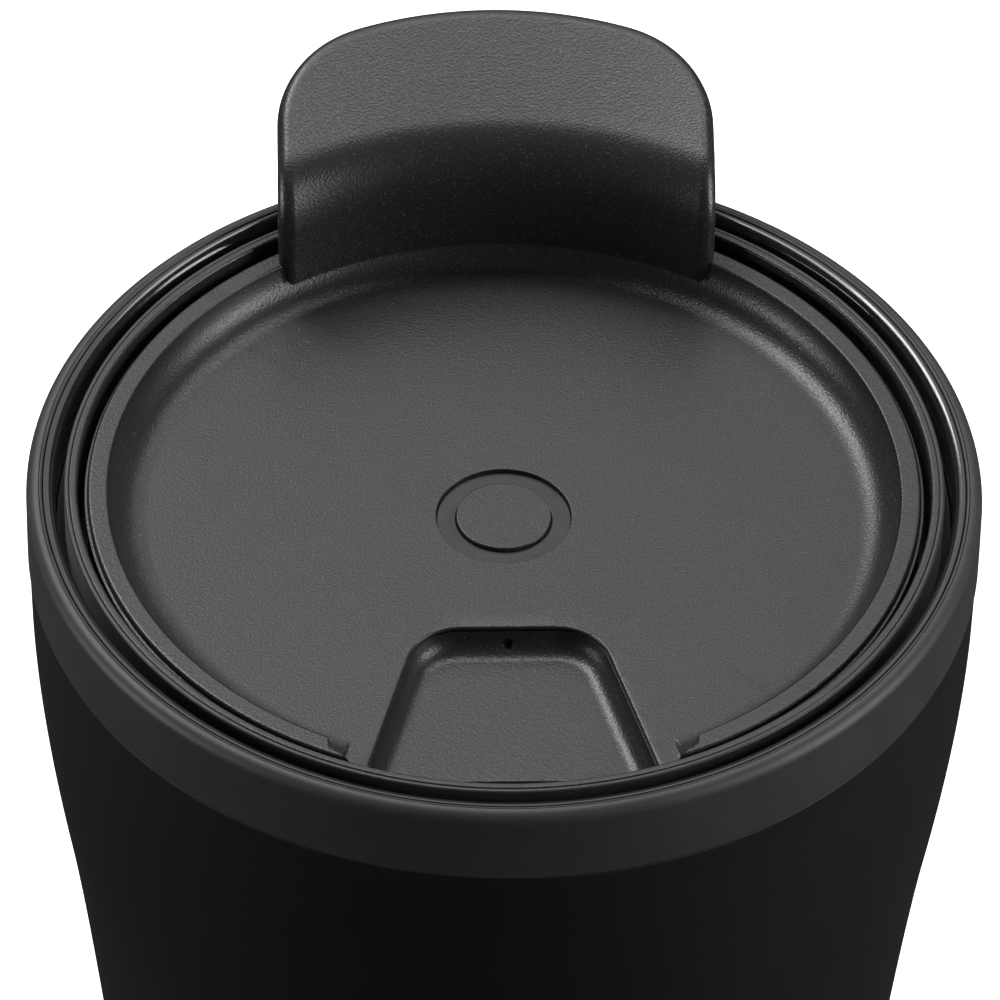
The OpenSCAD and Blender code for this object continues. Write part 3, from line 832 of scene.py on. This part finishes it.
def make_disc():
    """Dished disc: lip, cove, floor and skirt, with the notch cut out and the tab joined on."""
    groove = WELL_UNDER + 0.3
    boss_r = 9
    boss_z = WELL_UNDER + 0.05
    recess_r = 6.25
    recess_z = HUB_Z - 0.1
    corners = [
        (HUB_BORE, boss_z, 0), (boss_r, boss_z, 0), (boss_r, PLATE_Z, 0), (SKIRT_IN, PLATE_Z, 0.3),
        (SKIRT_IN, WELL_UNDER, 0.1), (LIP_R, WELL_UNDER, 0.1), (LIP_R, groove, 0), (LIP_R - 0.5, groove, 0),
        (LIP_R - 0.5, groove + 0.8, 0), (LIP_R, groove + 0.8, 0), (LIP_R, LIP - 1.15, 0.05),
        (LIP_R + 0.25, LIP - 0.95, 0.06), (LIP_R + 0.25, LIP - 0.62, 0.06), (LIP_R, LIP - 0.6, 0.03),
        (LIP_R, LIP, 0.35), (DISH_R, LIP, 0.22)]
    profile = rounded(corners + [(DISH_R, LIP - 0.5, 0)], steps=6, hold=0.05)[:-1]
    profile += arc(DISH_R - COVE, DISH_Z + COVE, COVE, 0, -90, 24)
    profile += [(r, DISH_Z) for r in (DISH_R - COVE - 0.3, 28, 23, 18, 13, 9)]
    profile += rounded([(8, DISH_Z, 0), (recess_r, DISH_Z, 0.08), (recess_r, recess_z, 0),
                        (HUB_BORE, recess_z, 0)], closed=False)
    disc = lathe("disc_body", profile, "disc", SLOT_MATERIALS["lid_grained"], 360)
    disc = combine(disc, make_tab(), "UNION")

    # the lip is cut away in front of two slanting lines, and ends in short ramps
    flank = rounded([(12, -46, 0), (12, -37, 1), (15.3, -33.3, 1.5), (14.3, -28, 0)], closed=False)
    lip_cut = flank + [(-x, y) for x, y in reversed(flank)]
    levels = [(0.0, DISH_Z + 0.002), (0.15, DISH_Z + 0.3), (0.5, DISH_Z + 1.2), (1.0, DISH_Z + 2.4),
              (1.6, LIP + 0.4), (1.6, LIP + 3)]
    loops = [([(x + grow * (1 if x > 0 else -1), y) for x, y in lip_cut], z) for grow, z in levels]
    disc = cut(disc, loft("lip cut", loops))

    flare = 0.22
    shape = [(0.0, WELL_Z - 0.001), (0.0, DISH_Z - flare)]
    for a in (radians(22), radians(45), radians(68), radians(90)):
        shape.append((flare * (1 - cos(a)), DISH_Z - flare + flare * sin(a)))
    shape.append((flare, DISH_Z + 12))
    disc = cut(disc, loft("notch cut", [(notch_outline(d), z) for d, z in shape]))
    rebate = prism("rebate", notch_outline(WELL_WALL, front=-SKIRT_IN + 0.4), WELL_UNDER - 1, SEAM_Z)
    disc = cut(disc, rebate)
    stop_x, stop_y = STOP_R * cos(radians(STOP_ANGLE)), STOP_R * sin(radians(STOP_ANGLE))
    disc = combine(disc, pin(stop_x, stop_y, STOP_PIN_R, DECK_Z - 0.7, PLATE_Z + 0.4), "UNION")
    clean(disc, 35)
    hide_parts("turn_disc")


def vent_cutter(r, near, far):
    """A pin along Y at the back wall of the well."""
    vent = [(x, VENT_MOUTH_Z + z) for x, z in arc(0, 0, r, 0, 360, 24)[:-1]]
    n = len(vent)
    verts = [(x, y, z) for y in (-far, -near) for x, z in vent]
    faces = [tuple(range(n)), tuple(reversed(range(n, 2 * n)))]
    faces += [(i, (i + 1) % n, n + (i + 1) % n, n + i) for i in range(n)]
    return clean(new_object("vent", verts, faces))


def make_sip_well():
    """Tray under the notch: coved walls, a rim that shows as a fine line, the slot and the vent's mouth."""
    ledge = 0.09
    rim = 0.07
    front_r = SKIRT_IN - 0.05
    block = prism("sip_tray", notch_outline(WELL_WALL - 0.05, front=-50), WELL_UNDER, SEAM_Z)
    round_block = prism("round", arc(0, 0, front_r, 0, 360, 256)[:-1], WELL_UNDER - 1, SEAM_Z + 1)
    tray = combine(block, round_block, "INTERSECT")
    cove = 2.1
    levels = [(-ledge - cove * (1 - cos(radians(a))), WELL_Z + cove * (1 - sin(radians(a))))
              for a in range(90, -1, -9)]
    levels += [(-ledge, SEAM_Z - rim), (-ledge + rim * 0.3, SEAM_Z - rim * 0.3), (-ledge + rim, SEAM_Z)]
    levels += [(-ledge + rim, SEAM_Z + 2)]
    tray = cut(tray, loft("cavity", [(notch_outline(d, front=-52), z) for d, z in levels]))
    tray = cut(tray, slot_prism(0, WELL_UNDER - 1, WELL_Z + 1))
    mouth = 0.3
    flare = [(0.0, WELL_Z - mouth), (0.1, WELL_Z - 0.1), (mouth, WELL_Z + 0.001), (mouth, WELL_Z + 1)]
    loops = [(slot_outline(SLOT_LEN + 2 * d, SLOT_W + 2 * d, -SLOT_Y), z) for d, z in flare]
    tray = cut(tray, loft("slot edge", loops))
    tray = cut(tray, vent_cutter(VENT_MOUTH_R, NOTCH_BACK + 0.18, NOTCH_BACK + 3))
    clean(tray, 30)
    tray.data.materials.clear()
    tray.data.materials.append(SLOT_MATERIALS["lid_grained"])
    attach(tray, "disc")
    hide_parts("sip_well")


def make_wiper():
    tip = high("wiper_ring", 0)
    z = low("wiper_ring", 2)
    top = z + 0.8
    root = LIP_R - 0.5
    profile = rounded([(root, z, 0), (LIP_R, z, 0), (tip, z + 0.25, 0.08), (tip, z + 0.55, 0.08),
                       (LIP_R, top, 0), (root, top, 0)], hold=0.03)
    piece("disc_wiper", profile, "disc", "silicone_black", "wiper_ring", segments=320)


# ---------------------------------------------------------------- stage, places in metres

LID_PLACE = (0, 0, 0.13)
WORLD_LIGHT = 0.055


def make_floor():
    """Pale ground that doesn't light the object."""
    size = 2500
    verts = [(-size, -size, 0), (size, -size, 0), (size, size, 0), (-size, size, 0)]
    floor = new_object("floor", verts, [(0, 1, 2, 3)], material=floor_material())
    floor.visible_diffuse = False
    floor.visible_glossy = False


def softbox(name, place, size, power, color):
    """A rectangular light that faces the lid."""
    light = bpy.data.lights.new(name, "AREA")
    light.shape = "RECTANGLE"
    light.size, light.size_y = size
    light.energy = power
    light.color = color
    obj = bpy.data.objects.new(name, light)
    bpy.context.scene.collection.objects.link(obj)
    obj.location = Vector(place)
    obj.rotation_euler = (Vector(LID_PLACE) - obj.location).to_track_quat("-Z", "Y").to_euler()


def make_lights():
    softbox("overhead", (0.0, 0.66, 0.86), (1.2, 0.85), 3.3, (0.94, 1.0, 0.93))
    softbox("top strip", (0.0, 0.37, 0.96), (1.2, 0.2), 3.7, (0.96, 1.0, 0.95))
    softbox("back left", (-0.42, 0.62, 0.95), (0.35, 0.35), 4.5, (0.96, 1.0, 0.97))
    softbox("right panel", (0.95, -0.28, 0.36), (0.5, 0.8), 8.8, (1.0, 1.0, 0.98))
    softbox("left panel", (-0.92, -0.12, 0.22), (0.4, 0.4), 3.5, (1.0, 1.0, 0.98))
    world = bpy.data.worlds.new("studio")
    bpy.context.scene.world = world
    world.use_nodes = True
    background = world.node_tree.nodes["Background"]
    background.inputs["Color"].default_value = (1, 1, 1, 1)
    background.inputs["Strength"].default_value = WORLD_LIGHT
    bpy.context.scene.view_settings.view_transform = "Standard"


def make_camera():
    """Long lens, looking down on the lid from the front."""
    elevation, azimuth, roll = radians(43.4), radians(-2.1), radians(1.0)
    distance = 0.87
    target = Vector((-0.00045, -0.00192, LIP * MM))
    away = Vector((sin(azimuth) * cos(elevation), -cos(azimuth) * cos(elevation), sin(elevation)))
    camera = bpy.data.objects.new("camera", bpy.data.cameras.new("camera"))
    camera.data.lens = 340.8
    camera.data.sensor_width = 36
    camera.data.clip_start = 0.05
    camera.data.clip_end = 20
    bpy.context.scene.collection.objects.link(camera)
    look = (-away).to_track_quat("-Z", "Y").to_matrix().to_4x4()
    camera.matrix_world = Matrix.Translation(target + away * distance) @ look @ Matrix.Rotation(roll, 4, "Z")
    bpy.context.scene.camera = camera


make_camera()
make_lights()
make_floor()
dress_cad_nodes()
make_shell()
make_base_plate()
make_base_pad()
make_collar()
make_liner()
make_lid_base()
make_lid_gasket()
make_bottom_cover()
make_pivot()
make_disc()
make_sip_well()
make_wiper()
